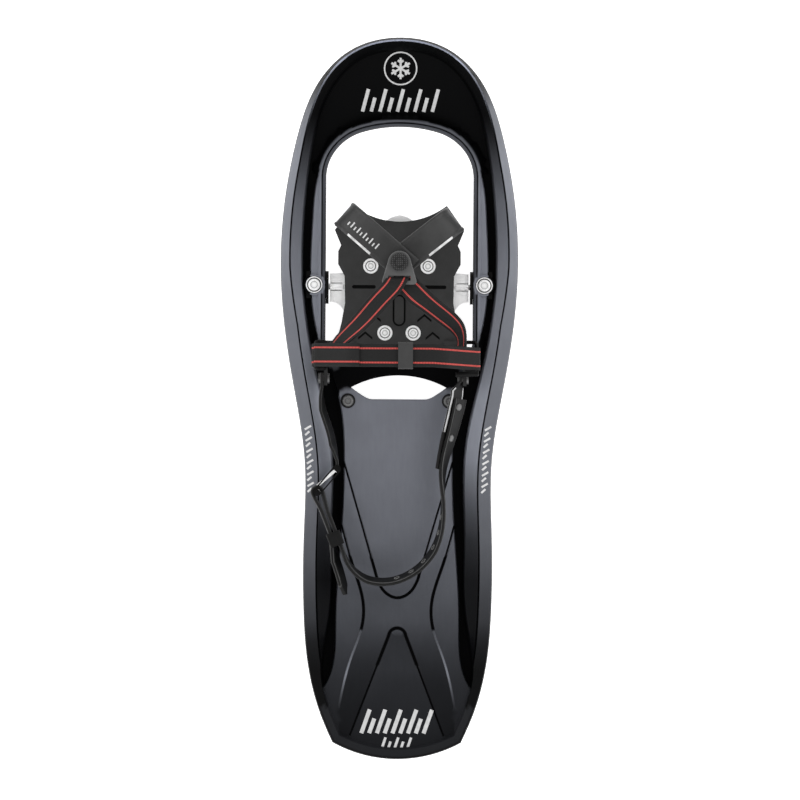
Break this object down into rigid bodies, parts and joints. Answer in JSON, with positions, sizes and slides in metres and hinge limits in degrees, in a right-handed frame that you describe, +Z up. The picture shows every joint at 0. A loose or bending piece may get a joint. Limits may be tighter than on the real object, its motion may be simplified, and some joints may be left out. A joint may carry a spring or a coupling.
{
  "type": "snowshoe",
  "caption": "Moulded-deck snowshoe with a pivoting toe crampon binding, webbing harness and swinging heel strap.",
  "frame": {"origin": "on the centreline at mid length, on the ground plane under the traction teeth", "axes": "+X to the wearer's right, +Y towards the toe along the length, +Z up"},
  "size_m": [0.2018, 0.6119, 0.1095],
  "materials": {
    "deck_plastic": "satin moulded plastic, grey to black",
    "block_plastic": "black moulded plastic",
    "buckle_plastic": "dark grey acetal",
    "moulded_rubber": "satin urethane",
    "harness_rubber": "satin urethane",
    "strap_rubber": "satin urethane",
    "webbing": "black woven webbing with two red lines",
    "traction_steel": "zinc plated sheet",
    "crampon_steel": "bright plated sheet",
    "bright_steel": "bright steel"
  },
  "bodies": {
    "deck": {"deck": "deck_plastic", "traction_rail_left": "traction_steel", "traction_rail_right": "traction_steel", "rail_screws": "bright_steel", "heel_crampon": "traction_steel", "heel_crampon_rivets": "bright_steel", "heel_crampon_washers": "bright_steel", "pivot_block_left": "block_plastic", "pivot_block_right": "block_plastic", "pivot_rivets": "bright_steel", "pivot_washers": "bright_steel"},
    "binding": {"pivot_rod": "bright_steel", "toe_crampon": "crampon_steel", "binding_platform": "moulded_rubber", "platform_rivets": "bright_steel", "platform_washers": "bright_steel", "harness_wing_left": "harness_rubber", "harness_wing_right": "harness_rubber", "harness_cap": "block_plastic", "toe_buckle": "buckle_plastic", "lacing_webbing_left": "webbing", "lacing_webbing_right": "webbing", "instep_webbing": "webbing", "side_ring_left": "bright_steel", "side_ring_right": "bright_steel", "heel_strap_pivots": "bright_steel"},
    "heel_strap": {"heel_strap_tab_left": "moulded_rubber", "heel_strap_tab_right": "moulded_rubber", "heel_strap": "strap_rubber", "heel_strap_rivets": "bright_steel", "heel_buckle_frame": "buckle_plastic"},
    "slider": {"instep_slider": "buckle_plastic"},
    "roller": {"heel_buckle_roller": "bright_steel"},
    "tongue": {"heel_buckle_tongue": "bright_steel"},
    "keeper": {"strap_keeper": "block_plastic"}
  },
  "joints": [
    {"name": "binding_pivot", "type": "hinge", "parent": "deck", "child": "binding", "pos_m": [0, 0.0938, 0.03], "axis": [-1, 0, 0], "range_deg": [0, 70]},
    {"name": "heel_strap_swing", "type": "hinge", "parent": "binding", "child": "heel_strap", "pos_m": [0, 0.016, 0.0525], "axis": [-1, 0, 0], "range_deg": [0, 60]},
    {"name": "slider_slide", "type": "slide", "parent": "binding", "child": "slider", "axis": [1, 0, 0], "range_m": [-0.025, 0.015]},
    {"name": "roller_spin", "type": "hinge", "parent": "heel_strap", "child": "roller", "pos_m": [-0.0685, -0.0805, 0.0525], "axis": [0, 0, 1], "continuous": true},
    {"name": "tongue_swing", "type": "hinge", "parent": "heel_strap", "child": "tongue", "pos_m": [-0.052, -0.061, 0.0525], "axis": [0, 0, -1], "range_deg": [0, 80]},
    {"name": "keeper_slide", "type": "slide", "parent": "heel_strap", "child": "keeper", "axis": [0.36, -0.933, 0], "range_m": [-0.008, 0.006]}
  ]
}
